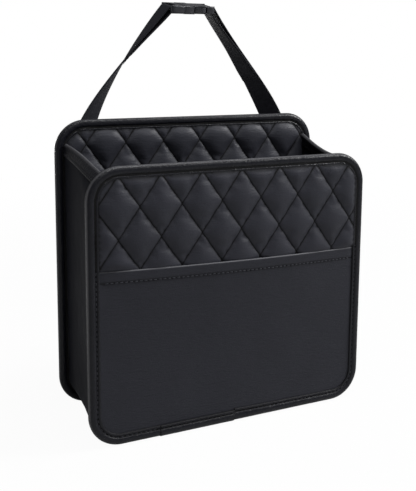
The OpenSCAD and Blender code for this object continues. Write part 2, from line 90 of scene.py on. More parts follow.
def leather(name, low, high, roughness, grain=0.9 * mm, wrinkles=0.0,
            folds=(150.0, 150.0, 750.0), specular=0.3):
    """Embossed synthetic leather: pebble grain, fine creases and a slow change of tone.
    Its painted_shading value paints shade in, duller too, from 0 to 1, and paints a highlight in
    from 0 to -1."""
    material, tree, shader = new_material(name, roughness, specular)
    place = tree.nodes.new("ShaderNodeTexCoord").outputs["Object"]
    pebbles = add_node(tree, "ShaderNodeTexVoronoi", feature="SMOOTH_F1", Scale=1 / grain,
                       Smoothness=0.4)
    creases = add_node(tree, "ShaderNodeTexNoise", Scale=1 / grain * 0.35, Detail=4.0)
    clouds = add_node(tree, "ShaderNodeTexNoise", Scale=28.0, Detail=3.0)
    for texture in (pebbles, creases, clouds):
        tree.links.new(place, texture.inputs["Vector"])
    tone = add_node(tree, "ShaderNodeMix", data_type="RGBA")
    tone.inputs["A"].default_value = (*low, 1)
    tone.inputs["B"].default_value = (*high, 1)
    tree.links.new(clouds.outputs["Fac"], tone.inputs["Factor"])
    painted_shading = add_node(tree, "ShaderNodeAttribute", attribute_name="painted_shading")
    # Painted shade where the value is above 0.
    painted_shade = add_node(tree, "ShaderNodeMix", data_type="RGBA")
    painted_shade.inputs["B"].default_value = (*painted_shade_colour, 1)
    tree.links.new(painted_shading.outputs["Fac"], painted_shade.inputs["Factor"])
    tree.links.new(tone.outputs["Result"], painted_shade.inputs["A"])
    # Painted highlight where the value is below 0.
    painted_highlight = add_node(tree, "ShaderNodeMix", data_type="RGBA")
    painted_highlight.inputs["B"].default_value = (*painted_highlight_colour, 1)
    highlight_share = add_node(tree, "ShaderNodeMath", operation="MULTIPLY")
    highlight_share.inputs[1].default_value = -1.0
    tree.links.new(painted_shading.outputs["Fac"], highlight_share.inputs[0])
    tree.links.new(highlight_share.outputs[0], painted_highlight.inputs["Factor"])
    tree.links.new(painted_shade.outputs["Result"], painted_highlight.inputs["A"])
    tree.links.new(painted_highlight.outputs["Result"], shader.inputs["Base Color"])
    duller = add_node(tree, "ShaderNodeMapRange")
    duller.inputs["To Min"].default_value = roughness
    duller.inputs["To Max"].default_value = crease_roughness
    tree.links.new(painted_shading.outputs["Fac"], duller.inputs["Value"])
    tree.links.new(duller.outputs["Result"], shader.inputs["Roughness"])
    height = add_node(tree, "ShaderNodeMath", operation="ADD")
    tree.links.new(pebbles.outputs["Distance"], height.inputs[0])
    tree.links.new(creases.outputs["Fac"], height.inputs[1])
    bump = add_node(tree, "ShaderNodeBump", Strength=0.35, Distance=0.15 * mm)
    tree.links.new(height.outputs[0], bump.inputs["Height"])
    if wrinkles:
        drawn = add_node(tree, "ShaderNodeMapping")
        drawn.inputs["Scale"].default_value = folds
        creased = add_node(tree, "ShaderNodeTexNoise", Scale=1.0, Detail=3.0, Distortion=0.4)
        tree.links.new(place, drawn.inputs["Vector"])
        tree.links.new(drawn.outputs["Vector"], creased.inputs["Vector"])
        pulled = add_node(tree, "ShaderNodeBump", Strength=wrinkles, Distance=1.0 * mm)
        tree.links.new(creased.outputs["Fac"], pulled.inputs["Height"])
        tree.links.new(pulled.outputs["Normal"], bump.inputs["Normal"])
    tree.links.new(bump.outputs["Normal"], shader.inputs["Normal"])
    return material


def woven(name, low, high, yarn=0.9 * mm, roughness=0.7):
    """Woven webbing or thread, with its yarns along and across the piece's own UV map."""
    material, tree, shader = new_material(name, roughness, specular=0.12)
    place = tree.nodes.new("ShaderNodeTexCoord").outputs["UV"]
    yarns = add_node(tree, "ShaderNodeTexBrick", offset=0.5, Scale=1.0, Mortar_Size=yarn * 0.16)
    yarns.inputs["Mortar Smooth"].default_value = 0.8
    yarns.inputs["Brick Width"].default_value = yarn * 2
    yarns.inputs["Row Height"].default_value = yarn
    yarns.inputs["Color1"].default_value = (*high, 1)
    yarns.inputs["Color2"].default_value = (*(0.8 * c for c in high), 1)
    yarns.inputs["Mortar"].default_value = (*low, 1)
    tree.links.new(place, yarns.inputs["Vector"])
    tree.links.new(yarns.outputs["Color"], shader.inputs["Base Color"])
    bump = add_node(tree, "ShaderNodeBump", Strength=0.3, Distance=0.2 * mm, invert=True)
    tree.links.new(yarns.outputs["Fac"], bump.inputs["Height"])
    tree.links.new(bump.outputs["Normal"], shader.inputs["Normal"])
    return material


def plastic(name, colour, roughness):
    """Moulded plastic with a fine eroded texture."""
    material, tree, shader = new_material(name, roughness, specular=0.32)
    shader.inputs["Base Color"].default_value = (*colour, 1)
    place = tree.nodes.new("ShaderNodeTexCoord").outputs["Object"]
    texture = add_node(tree, "ShaderNodeTexNoise", Scale=2500.0, Detail=2.0)
    tree.links.new(place, texture.inputs["Vector"])
    bump = add_node(tree, "ShaderNodeBump", Strength=0.06, Distance=0.04 * mm)
    tree.links.new(texture.outputs["Fac"], bump.inputs["Height"])
    tree.links.new(bump.outputs["Normal"], shader.inputs["Normal"])
    return material


quilted_leather = leather("quilted leather", (0.0135, 0.0141, 0.0190), (0.0182, 0.0188, 0.0258),
                          0.52, wrinkles=0.2, specular=0.18)
# The same leather as the front quilting, painted brighter to stand in for light that doesn't reach
# the back panel inside the bag.
quilted_leather_painted_brighter = leather("quilted leather painted brighter", (0.0180, 0.0188, 0.0245),
                        (0.0240, 0.0248, 0.0320), 0.46, wrinkles=0.2, specular=0.18)
plain_leather = leather("plain leather", (0.0150, 0.0155, 0.0202), (0.0185, 0.0192, 0.0248), 0.5,
                        wrinkles=0.28, specular=0.13)
binding_leather = leather("binding leather", (0.0034, 0.0036, 0.0054), (0.0058, 0.0061, 0.0092),
                          0.34, wrinkles=0.45, folds=(420.0, 420.0, 420.0), specular=0.19)
gusset_leather = leather("gusset leather", (0.0100, 0.0103, 0.0132), (0.0135, 0.0139, 0.0176),
                         0.6, specular=0.03)
lining_cloth = leather("lining", (0.016, 0.016, 0.018), (0.022, 0.022, 0.025), 0.7, 0.6 * mm)
strap_webbing = woven("strap webbing", (0.0040, 0.0041, 0.0055), (0.0145, 0.0150, 0.0200))
seam_thread = woven("seam thread", (0.0008, 0.0008, 0.0010), (0.0022, 0.0022, 0.0027),
                    0.2 * mm, 0.85)
strap_thread = woven("strap thread", (0.0100, 0.0102, 0.0125), (0.0330, 0.0340, 0.0400),
                     0.2 * mm, 0.5)
# Grey thread, its colour lifted above the thread's own to paint in the glints its stitches catch.
edge_thread_with_painted_glints = woven("edge thread with painted glints", (0.0270, 0.0277, 0.0340), (0.0680, 0.0700, 0.0850),
                    0.2 * mm, 0.45)
black_plastic = plastic("buckle plastic", (0.0150, 0.0154, 0.0195), 0.36)
board_fibre = leather("board fibre", (0.10, 0.08, 0.06), (0.14, 0.11, 0.08), 0.9)
foam_cells = leather("foam cells", (0.05, 0.05, 0.055), (0.07, 0.07, 0.075), 0.95)


# Mesh helpers

def smooth(t):
    """A smooth rise from 0 to 1 as t goes from 0 to 1."""
    t = min(1.0, max(0.0, t))
    return t * t * (3 - 2 * t)


def mix(a, b, t):
    """The value a share t of the way from a to b."""
    return a + (b - a) * t


def ripple(x, y, z, size, seed):
    """A smooth random height between about -1 and 1, with waves of the given size."""
    return noise.noise(Vector((x / size + seed, y / size - seed, z / size + 2 * seed)))


def new_piece(name, points, faces, finish, body="bag", uv=None, sharp=40, painted_shading=None):
    """A mesh piece from points in millimetres, with its material, that rides on a body.
    A closed one that comes out facing inwards is turned round."""
    mesh = bpy.data.meshes.new(name)
    mesh.from_pydata([tuple(c * mm for c in p) for p in points], [], faces)
    shape = bmesh.new()
    shape.from_mesh(mesh)
    if all(edge.is_manifold for edge in shape.edges) and shape.calc_volume(signed=True) < 0:
        mesh.flip_normals()
    shape.free()
    if uv:
        layer = mesh.uv_layers.new(name="UVMap")
        for loop in mesh.loops:
            layer.data[loop.index].uv = uv[loop.vertex_index]
    # The values that paint shade and highlights into the leather.
    if painted_shading:
        mesh.attributes.new("painted_shading", "FLOAT", "POINT").data.foreach_set("value", painted_shading)
    mesh.validate()
    mesh.update()
    piece = bpy.data.objects.new(name, mesh)
    bpy.context.scene.collection.objects.link(piece)
    mesh.materials.append(finish)
    mesh.shade_smooth()
    if sharp:
        mesh.set_sharp_from_angle(angle=math.radians(sharp))
    if body:
        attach(piece, body)
    return piece


def finish_modifier(piece, kind, **values):
    """Adds a modifier, sets it and applies it."""
    modifier = piece.modifiers.new(kind.title(), kind)
    for key, value in values.items():
        setattr(modifier, key, value)
    bpy.ops.object.select_all(action="DESELECT")
    bpy.context.view_layer.objects.active = piece
    piece.select_set(True)
    bpy.ops.object.modifier_apply(modifier=modifier.name)
    piece.select_set(False)


def loft(rings, closed_ring=True, closed_path=False, caps=False):
    """The points of rings of equal length in one list, and the faces over them."""
    n, m = len(rings), len(rings[0])
    faces = []
    for j in range(n if closed_path else n - 1):
        for i in range(m if closed_ring else m - 1):
            k, up = (i + 1) % m, ((j + 1) % n) * m
            faces.append((j * m + i, j * m + k, up + k, up + i))
    if caps:
        faces.append(tuple(reversed(range(m))))
        faces.append(tuple((n - 1) * m + i for i in range(m)))
    return [p for ring in rings for p in ring], faces


def on_panel(rear_y, x, z, w):
    """A place on a panel: x across, z up, w from its rear face towards the viewer."""
    return (x, rear_y - w, z)


def corner_reach(x, inset):
    """How far the rounded outline reaches beyond its corner centres at a place x."""
    r = corner_r - inset
    over = max(0.0, abs(x) - half_w + corner_r)
    return math.sqrt(max(0.0, r * r - over * over))


def edge_stations(h, step=2.6):
    """Points of the corner-centre line of a panel with their outward directions."""
    w, low, high, turns = half_w - corner_r, corner_r, h - corner_r, 16
    sides = [((-w, low), (w, low), (0, -1)), ((w, low), (w, high), (1, 0)),
             ((w, high), (-w, high), (0, 1)), ((-w, high), (-w, low), (-1, 0))]
    stations = []
    for (x0, z0), (x1, z1), out in sides:
        length = math.hypot(x1 - x0, z1 - z0)
        count = max(1, round(length / step))
        for i in range(count):
            t = i / count
            stations.append((mix(x0, x1, t), mix(z0, z1, t), *out))
        start = math.atan2(out[1], out[0])
        for i in range(turns):
            a = start + math.pi / 2 * i / turns
            stations.append((x1, z1, math.cos(a), math.sin(a)))
    return stations


def stitch_row(places, size):
    """Points and faces of stitches of a length and thickness, each a spindle that dips into
    the leather at its ends; a place is (middle, along, out)."""
    length, thick = size
    sides, deepest, rings = 6, 0.35, (-0.5, -0.42, -0.2, 0.2, 0.42, 0.5)
    fat = (0.35, 0.85, 1.0, 1.0, 0.85, 0.35)
    points, faces = [], []
    for middle, along, out in places:
        along, out = Vector(along).normalized(), Vector(out).normalized()
        across = out.cross(along)
        base = len(points)
        for t, f in zip(rings, fat):
            dip = -deepest * abs(2 * t) ** 4
            core = Vector(middle) + along * (t * length) + out * dip
            for k in range(sides):
                a = 2 * math.pi * k / sides
                points.append(tuple(core + across * (math.cos(a) * thick * f / 2)
                                    + out * (math.sin(a) * thick * f / 2)))
        for r in range(len(rings) - 1):
            for k in range(sides):
                k2 = (k + 1) % sides
                faces.append((base + r * sides + k, base + r * sides + k2,
                              base + (r + 1) * sides + k2, base + (r + 1) * sides + k))
        faces.append(tuple(base + k for k in reversed(range(sides))))
        last = base + (len(rings) - 1) * sides
        faces.append(tuple(last + k for k in range(sides)))
    return points, faces


# Edge binding

# The tape's section: distance in from the panel's edge, and height over its rear face
tape_face = [(9.7, 5.2), (9.7, 5.8), (9.5, 6.25), (9.0, 6.55), (8.5, 6.6), (7.95, 6.42),
             (7.5, 5.95), (7.1, 5.5), (6.7, 5.5), (6.3, 6.0), (5.9, 6.45), (5.2, 6.78),
             (4.2, 6.92), (3.1, 6.88), (2.1, 6.62), (1.2, 6.1), (0.5, 5.3), (0.12, 4.3)]
tape_section = (tape_face + [(0.0, panel_t / 2)]
                + [(t, panel_t - w) for t, w in reversed(tape_face)]
                + [(8.6, 1.1), (3.0, 1.1), (1.4, 2.2), (1.4, 4.0), (3.0, 5.1), (8.6, 5.1)])
stitch_in, stitch_level = 6.9, 5.9
edge_pitch = 4.0
lap_ends, lap_t = (-67.5, 0.5), 0.5
lap_shift, lap_fade = 1.3, 35.0


def tape_painted_shading(t, w):
    """Painted shade in the stitch line and where the tape meets the panel, less a faint painted
    highlight on the rib.
    """
    high = max(w, panel_t - w)
    line = math.exp(-((t - stitch_in) / 0.6) ** 2)
    foot = smooth((t - 9.3) / 0.4)
    rib = 0.14 * math.exp(-((t - 8.5) / 0.6) ** 2)
    return min(1.0, line + foot) - rib if high > 5.0 else 0.0


def tape_wrinkle(x, z, t, w, turning):
    """How much the tape stands up or sinks at a place, more where it turns a corner."""
    depth = 0.12 * ripple(x, w, z, 6.5, 3.1)
    depth += 0.42 * turning * smooth((t - 1.5) / 4) * ripple(x, w, z, 3.4, 8.3)
    face = 1 if w > panel_t / 2 else -1
    return face * depth * (1 if abs(w - panel_t / 2) > 1.5 else 0.4)


def lap_rise(x, nz):
    """Extra thickness where the front tape's two ends lie over each other, and how near
    its edges are."""
    if nz > -0.99:
        return 0.0, 0.0
    rise = smooth((x - lap_ends[0]) / 0.7 + 0.5) * smooth((lap_ends[1] - x) / 0.7 + 0.5)
    near = max(math.exp(-((x - end) / 0.7) ** 2) for end in lap_ends)
    return lap_t * rise, near


def make_binding(name, h, rear_y, lapped):
    """The tape folded round a panel's edge, with a plump outer band and a stitched inner rib."""
    rings, painted_shading = [], []
    # How strong the painted highlight along the tape's outer rim is, more on the front panel.
    rim_highlight = 0.5 if lapped else 0.2
    stations = edge_stations(h)
    if lapped:
        added = [(end + d, corner_r, 0, -1) for end in lap_ends
                 for d in (-0.5, -0.3, -0.1, 0.1, 0.3, 0.5)]
        straight = [s for s in stations if s[3] == -1 and abs(s[0]) < half_w - corner_r]
        stations = stations[:1] + sorted(straight + added) + stations[len(straight) + 1:]
    for x, z, nx, nz in stations:
        turning = 1.0 if abs(nx * nz) > 0.01 else 0.0
        rise, near = lap_rise(x, nz) if lapped else (0.0, 0.0)
        ring = []
        for t, w in tape_section:
            outside = smooth((w - panel_t / 2) / 1.5) * (1 if w > 5.15 or t < 0.6 else 0)
            reach = corner_r - t + (rise * 0.6 if t < 1.3 and w > 2.3 else 0.0)
            if lapped and nz < -0.99 and t > 6.0 and w > panel_t / 2 and x > lap_ends[1]:
                past = x - lap_ends[1]
                reach -= lap_shift * smooth(past / 0.5) * math.exp(-past / lap_fade)
            px, pz = x + nx * reach, z + nz * reach
            level = w + tape_wrinkle(px, pz, t, w, turning) + rise * outside
            ring.append(on_panel(rear_y, px, pz, level))
            # Painted highlight along the outer rim; painted shade in the grooves and at the steps
            # where the front tape's ends lie over each other.
            painted_rim_highlight = rim_highlight * smooth((0.9 - t) / 0.6) * smooth((w - 3.4) / 0.8)
            painted_shading.append(max(tape_painted_shading(t, w), 0.8 * near * (outside > 0.5)) - painted_rim_highlight)
        rings.append(ring)
    points, faces = loft(rings, closed_path=True)
    return new_piece(name, points, faces, binding_leather, sharp=0,
                     painted_shading=painted_shading)


def edge_places(h, rear_y, inset, level):
    """Stitch places at one distance inside a panel's edge, on both faces."""
    line = []
    for x, z, nx, nz in edge_stations(h, 1.0):
        line.append(Vector((x + nx * (corner_r - inset), z + nz * (corner_r - inset))))
    line.append(line[0])
    total = sum((b - a).length for a, b in zip(line, line[1:]))
    count = round(total / edge_pitch)
    places, gone, target = [], 0.0, 0.0
    for a, b in zip(line, line[1:]):
        step = (b - a).length
        while target <= gone + step and len(places) < count:
            p = a.lerp(b, (target - gone) / step)
            d = (b - a).normalized()
            places.append((p, d))
            target += total / count
        gone += step
    made = []
    for p, d in places:
        for w, out in ((level, -1), (panel_t - level, 1)):
            made.append((on_panel(rear_y, p.x, p.y, w), (d.x, 0, d.y), (0, out, 0)))
    return made


def make_thread(name, places, finish=edge_thread_with_painted_glints, size=(2.7, 0.75)):
    """A row of stitches as one piece."""
    points, faces = stitch_row(places, size)
    return new_piece(name, points, faces, finish, sharp=0)


for name, h, rear_y in (("back", back_h, back_rear_y), ("front", front_h, front_rear_y)):
    tape = make_binding(f"{name}_edge_binding", h, rear_y, name == "front")
    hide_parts(f"{name}_binding")
    make_thread(f"{name}_binding_stitches", edge_places(h, rear_y, stitch_in, stitch_level))


# Quilting

diamond_w, diamond_h, pillow_h = 35.8, 50.4, 2.4
binding_w, seam_spacing, skin_t = 9.6, 29.2, 0.9
seam_origin = {"back": (-100.5, 234.0), "front": (-102.5, 219.0)}
mouth_h, mouth_drop = 145.0, 4.0
pocket_bow, skin_tuck = 5.2, 12.0
free_w, free_z = 115.4, 16.6


def mouth_z(x):
    """Height of the pocket mouth at a place across the panel."""
    return mouth_h - mouth_drop * (x / panel_w + 0.5)


def bow(x, z):
    """How far the pocket sheet stands off the board at a place."""
    across = max(0.0, 1 - (x / free_w) ** 2)
    up = min(1.0, max(0.0, (z - free_z) / (mouth_z(x) - free_z)))
    return pocket_bow * across * up ** 1.5


def inside_binding(x, z, h):
    """Distance inside the inner edge of the binding."""
    over_x = abs(x) - half_w + corner_r
    over_z = max(corner_r - z, z - h + corner_r)
    from_centre = math.hypot(over_x, over_z) if over_x > 0 and over_z > 0 else max(over_x, over_z)
    return corner_r - binding_w - from_centre


cell_steps = (0, 0.008, 0.018, 0.035, 0.065, 0.11, 0.17, 0.25, 0.35, 0.45, 0.55,
              0.65, 0.75, 0.83, 0.89, 0.935, 0.965, 0.982, 0.992)
cell_first, cell_past = -7, 12
cloth_steps, cloth_scale, cloth_frames = 12, 20.0, 20
swell_share, swell_limit, slip_limit = 0.86, 4.2, 0.9


def seam_point(side, a, b):
    """The place (x, z) of two seam coordinates."""
    x0, z0 = seam_origin[side]
    return x0 + diamond_w * (a + b) / 2, z0 + diamond_h * (a - b) / 2


def plain_crown(a, b):
    """A rounded crown between the seams, from 0 to 1."""
    return abs(math.sin(math.pi * a) * math.sin(math.pi * b)) ** 0.5


def blow_up(side, h, lowest):
    """Leather blown up over its padding by cloth simulation, held at every seam and at the
    border. Returns the movement in millimetres at each cloth point, by its two seam numbers."""
    reach = range(cell_first * cloth_steps, cell_past * cloth_steps + 1)
    index, points, held = {}, [], []
    for i in reach:
        for j in reach:
            a, b = i / cloth_steps, j / cloth_steps
            x, z = seam_point(side, a, b)
            depth = inside_binding(x, z, h)
            if depth < -6.0 or z < lowest(x):
                continue
            index[i, j] = len(points)
            on_seam = i % cloth_steps == 0 or j % cloth_steps == 0
            if on_seam or depth < -0.5 or z < lowest(x) + 3.0:
                held.append(index[i, j])
            start = (1.0 + 0.3 * ripple(x, 0, z, 7.0, 3.3)) * plain_crown(a, b)
            points.append(tuple(c * mm * cloth_scale for c in (x, -start, z)))
    faces = []
    for i, j in index:
        corners = ((i, j), (i, j + 1), (i + 1, j + 1), (i + 1, j))
        if all(c in index for c in corners):
            faces.append(tuple(index[c] for c in corners))
    mesh = bpy.data.meshes.new("skin")
    mesh.from_pydata(points, [], faces)
    skin = bpy.data.objects.new("skin", mesh)
    bpy.context.scene.collection.objects.link(skin)
    skin.vertex_groups.new(name="held").add(held, 1.0, "REPLACE")
    cloth = skin.modifiers.new("Cloth", "CLOTH")
    settings = cloth.settings
    settings.vertex_group_mass = "held"
    settings.use_pressure = True
    settings.uniform_pressure_force = 5.0
    settings.effector_weights.gravity = 0.0
    settings.mass, settings.quality = 0.1, 6
    settings.tension_stiffness = settings.compression_stiffness = 15.0
    settings.shear_stiffness, settings.bending_stiffness = 5.0, 0.4
    settings.shrink_min = -0.05
    cloth.collision_settings.use_collision = False
    cloth.point_cache.frame_start, cloth.point_cache.frame_end = 1, cloth_frames
    for step in range(1, cloth_frames + 1):
        bpy.context.scene.frame_set(step)
    bpy.ops.object.select_all(action="DESELECT")
    bpy.context.view_layer.objects.active = skin
    skin.select_set(True)
    bpy.ops.object.modifier_apply(modifier=cloth.name)
    moved = {}
    for (i, j), k in index.items():
        x, z = seam_point(side, i / cloth_steps, j / cloth_steps)
        p = skin.data.vertices[k].co / (mm * cloth_scale)
        slip = [min(slip_limit, max(-slip_limit, d)) for d in (p.x - x, p.z - z)]
        swell = min(swell_limit, max(0.0, -p.y * swell_share))
        moved[i, j] = (slip[0], swell, slip[1])
    bpy.data.objects.remove(skin)
    bpy.context.scene.frame_set(1)
    return moved


def cell_weights():
    """Weights that carry the cloth points of one diamond smoothly to the finer mesh lines."""
    rows = []
    for t in cell_steps:
        at = t * cloth_steps
        k = min(cloth_steps - 1, int(at))
        f = at - k
        taps = (-0.5 * f + f * f - 0.5 * f ** 3, 1 - 2.5 * f * f + 1.5 * f ** 3,
                0.5 * f + 2 * f * f - 1.5 * f ** 3, -0.5 * f * f + 0.5 * f ** 3)
        row = [0.0] * (cloth_steps + 1)
        for n, weight in zip(range(k - 1, k + 3), taps):
            if n < 0:
                row[0] += 2 * weight
                row[1] -= weight
            elif n > cloth_steps:
                row[-1] += 2 * weight
                row[-2] -= weight
            else:
                row[n] += weight
        rows.append(row)
    return np.array(rows)


def finer_movement(moved):
    """The cloth's movement at the finer mesh lines, by their numbers."""
    weights, fine, per = cell_weights(), {}, len(cell_steps)
    for ka in range(cell_first, cell_past):
        for kb in range(cell_first, cell_past):
            block = np.array([[moved.get((ka * cloth_steps + i, kb * cloth_steps + j), (0, 0, 0))
                               for j in range(cloth_steps + 1)] for i in range(cloth_steps + 1)])
            if not block.any():
                continue
            made = np.einsum("pi,ijc,qj->pqc", weights, block, weights)
            for p in range(per):
                for q in range(per):
                    fine[ka * per + p, kb * per + q] = made[p, q]
    return fine


def skin_place(side, h, i, j, fine):
    """Where a point of the padded skin ends up: (x, z, level)."""
    per = len(cell_steps)
    a, b = i // per + cell_steps[i % per], j // per + cell_steps[j % per]
    x, z = seam_point(side, a, b)
    if fine is None:
        slip_x, swell, slip_z = 0.0, pillow_h * plain_crown(a, b), 0.0
    else:
        slip_x, swell, slip_z = fine.get((i, j), (0.0, 0.0, 0.0))
    share = smooth((inside_binding(x, z, h) + 1.5) / 6.0)
    level = skin_level + swell * share
    x, z = x + slip_x * share, z + slip_z * share
    if side == "front":
        over = z - mouth_z(x)
        under = board_level + bow(x, min(z, mouth_z(x))) - 0.15
        level = min(level, under + max(0.0, over - 0.6) * 1.3)
    return x, z, level


def make_quilting(name, side, h, rear_y, lowest, finish):
    """The padded leather sheet with sewn diamonds; its mesh runs along the seams."""
    per = len(cell_steps)
    lines = [k + t for k in range(cell_first, cell_past) for t in cell_steps]
    first = cell_first * per
    fine = finer_movement(blow_up(side, h, lowest))
    index, points, painted_shading, faces = {}, [], [], []

    def inside(i, j):
        x, z = seam_point(side, lines[i], lines[j])
        return inside_binding(x, z, h) > -7.6 and z > lowest(x)

    def point(i, j):
        if (i, j) not in index:
            a, b = lines[i], lines[j]
            x, z, level = skin_place(side, h, i + first, j + first, fine)
            index[i, j] = len(points)
            points.append(on_panel(rear_y, x, z, level))
            # Painted shade along the seams and at the border next to the binding.
            gap = seam_spacing * min(abs(a - round(a)), abs(b - round(b)))
            edge = smooth((1.4 - inside_binding(x, z, h)) / 1.6)
            painted_shading.append(min(1.0, max(1.5 * math.exp(-(gap / 0.95) ** 2), edge)))
        return index[i, j]

    for i in range(len(lines) - 1):
        for j in range(len(lines) - 1):
            corners = ((i, j), (i + 1, j), (i + 1, j + 1), (i, j + 1))
            if all(inside(p, q) for p, q in corners):
                faces.append(tuple(point(p, q) for p, q in corners))
    piece = new_piece(name, points, faces, finish, sharp=0,
                      painted_shading=painted_shading)
    finish_modifier(piece, "SOLIDIFY", thickness=skin_t * mm, offset=-1)
    return piece


def seam_stitches(side, h, rear_y, lowest):
    """Stitch places along both families of seams, inside the binding."""
    per_side, reach = 8, 14
    places = []
    for lean in (1, -1):
        along = (diamond_w, 0, lean * diamond_h)
        for k in range(-reach, reach + 1):
            for i in range(-reach * per_side, reach * per_side):
                run = (i + 0.5) / per_side
                x, z = seam_point(side, *((run, k) if lean > 0 else (k, run)))
                if z > lowest(x) + 1.0 and inside_binding(x, z, h) > 1.2:
                    places.append((on_panel(rear_y, x, z, skin_level + 0.3), along, (0, -1, 0)))
    return places


def back_low(x):
    """The lowest place of the back skin, the same at every x."""
    return 0.0


def front_low(x):
    """The lowest place of the front skin, tucked under the pocket's mouth."""
    return mouth_z(x) - skin_tuck


back_quilt = make_quilting("back_quilted_sheet", "back", back_h, back_rear_y, back_low,
                           quilted_leather_painted_brighter)
front_quilt = make_quilting("front_quilted_sheet", "front", front_h, front_rear_y, front_low,
                            quilted_leather)
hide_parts("back_quilting")
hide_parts("front_quilting")
# The black seam thread is drawn about twice as thick as real thread, so that it also paints the
# shade of the dimple each stitch pulls.
seam_stitch = (2.5, 0.95)
make_thread("back_quilt_stitches", seam_stitches("back", back_h, back_rear_y, back_low),
            seam_thread, seam_stitch)
make_thread("front_quilt_stitches", seam_stitches("front", front_h, front_rear_y, mouth_z),
            seam_thread, seam_stitch)


# Slip pocket

pocket_t, hem_extra, pocket_inset = 1.2, 0.8, 4.0
lip_r, hem_seam = 1.2, 0.6


def make_pocket():
    """The pocket sheet with its folded and stitched hem."""
    w = half_w - pocket_inset
    rings, painted_shading = [], []
    columns, rows = 124, 74
    for i in range(columns + 1):
        x = mix(-w, w, i / columns)
        top, low = mouth_z(x), corner_r - corner_reach(x, pocket_inset)
        hem = top - hem_w
        heights = [mix(low, hem - 1.6, j / rows) for j in range(rows + 1)]
        heights += [hem - 1.1, hem - 0.6, hem, hem + 0.6, hem + 1.2]
        heights += [mix(hem + 1.2, top - lip_r, j / 5) for j in range(1, 6)]
        inner = smooth((free_w + 2.5 - abs(x)) / 4)
        outer, back = [], []
        for z in heights:
            soft = 0.25 * ripple(x, 0, z, 30.0, 7.7) + 0.05 * ripple(x, 0, z, 5.0, 2.2)
            base = board_level + bow(x, z) + soft * inner
            folded = smooth((z - hem + 0.2) / 1.2)
            groove = 0.35 * math.exp(-((z - hem - hem_seam) / 0.7) ** 2)
            level = base + pocket_t + (hem_extra * folded - groove) * inner
            outer.append(on_panel(front_rear_y, x, z, level))
            back.append(on_panel(front_rear_y, x, z, base))
        edge = board_level + bow(x, top)
        thick = pocket_t + hem_extra * inner
        lip = [on_panel(front_rear_y, x, top - lip_r + lip_r * math.sin(a),
                        edge + thick / 2 + thick / 2 * math.cos(a))
               for a in (math.radians(d) for d in (25, 50, 90, 130, 155))]
        rings.append(outer + lip + list(reversed(back)))
        # Painted shade in the hem's stitch groove and on the sheet's back face against the board;
        # painted highlight along the lip of the mouth.
        painted_shading += [0.75 * math.exp(-((z - hem - hem_seam) / 0.6) ** 2) for z in heights[:-1]]
        painted_shading += [0.0, -0.3, -0.55, -0.5, -0.1, 0.0] + [0.3] * len(back)
    points, faces = loft(rings, caps=True)
    return new_piece("pocket_sheet", points, faces, plain_leather,
                     sharp=60, painted_shading=painted_shading)


pocket = make_pocket()
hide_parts("front_pocket")
hem_places, hem_count, hem_reach = [], 58, 112
for i in range(hem_count):
    x = mix(-hem_reach, hem_reach, i / (hem_count - 1))
    z = mouth_z(x) - hem_w + hem_seam
    level = board_level + bow(x, z) + pocket_t + 0.62
    hem_places.append((on_panel(front_rear_y, x, z, level), (1, 0, -mouth_drop / panel_w),
                       (0, -1, 0)))
make_thread("pocket_hem_stitches", hem_places)


# Gusset

# How far the middle of each top edge stands above (or below) the line between its ends
edge_rise = {-1: 3.0, 1: -4.0}
gusset_t, tape_t, tape_gap, tape_seam = 1.2, 0.8, 0.2, 0.8 * hem_w


def gusset_inset(v):
    """How far the gusset lies inside the panels' outline, v from back to front."""
    return mix(8.0, 2.0, v) + 1.6 * math.sin(math.pi * v)


def corner_turn(v):
    """How far the gusset's ends run on round the panels' upper corners, in radians."""
    return math.radians(mix(18.0, 58.0, v))


def side_point(side, v, s, d):
    """A place on the gusset: v from back to front, s down from its end, d inwards."""
    r = corner_r - gusset_inset(v) - d
    rise = edge_rise[side]
    turn = corner_turn(v) - s / r
    x = -half_w + corner_r - r * math.cos(max(0.0, turn))
    z = mix(back_h, front_h, v) - corner_r + rise * math.sin(math.pi * v)
    z += r * math.sin(turn) if turn > 0 else turn * r
    return (-side * x, mix(back_face_y, front_rear_y, v), z)


def half_path(side, v, d):
    """One half of the U from its end to the middle of the bottom."""
    r = corner_r - gusset_inset(v) - d
    turn = corner_turn(v)
    rise = edge_rise[side]
    straight = mix(back_h, front_h, v) + rise * math.sin(math.pi * v) - 2 * corner_r
    arc, y = r * turn, mix(back_face_y, front_rear_y, v)
    path = [side_point(side, v, arc * i / 7, d) for i in range(8)]
    path += [side_point(side, v, arc + straight * i / 44, d) for i in range(1, 44)]
    for i in range(15):
        a = math.pi + math.pi / 2 * i / 14
        x = -half_w + corner_r + r * math.cos(a)
        path.append((-side * x, y, corner_r + r * math.sin(a)))
    for i in range(1, 20):
        path.append((side * (half_w - corner_r) * (1 - i / 20), y, corner_r - r))
    return path


def make_gusset():
    """The soft U between the panels, slightly slack."""
    rings, columns = [], 30
    for i in range(columns + 1):
        v = i / columns
        loose = math.sin(math.pi * v) ** 0.7

        def slack(p):
            wave = 0.9 * ripple(0, p[1], p[2], 34.0, 4.4)
            wave += 0.25 * ripple(p[0], p[1], p[2], 9.0, 8.8)
            x, z = p[0], p[2]
            side_part = smooth((z - 8) / 16)
            return (x + wave * loose * side_part * (1 if x > 0 else -1), p[1],
                    z + 0.5 * wave * loose * (1 - side_part))

        left = [slack(p) for p in half_path(-1, v, 0.0)]
        right = [slack(p) for p in half_path(1, v, 0.0)]
        rings.append(left + list(reversed(right)))
    points, faces = loft(rings, closed_ring=False)
    piece = new_piece("gusset_sheet", points, faces, gusset_leather, sharp=0)
    finish_modifier(piece, "SOLIDIFY", thickness=gusset_t * mm, offset=-1)
    return piece


gusset = make_gusset()
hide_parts("gusset")


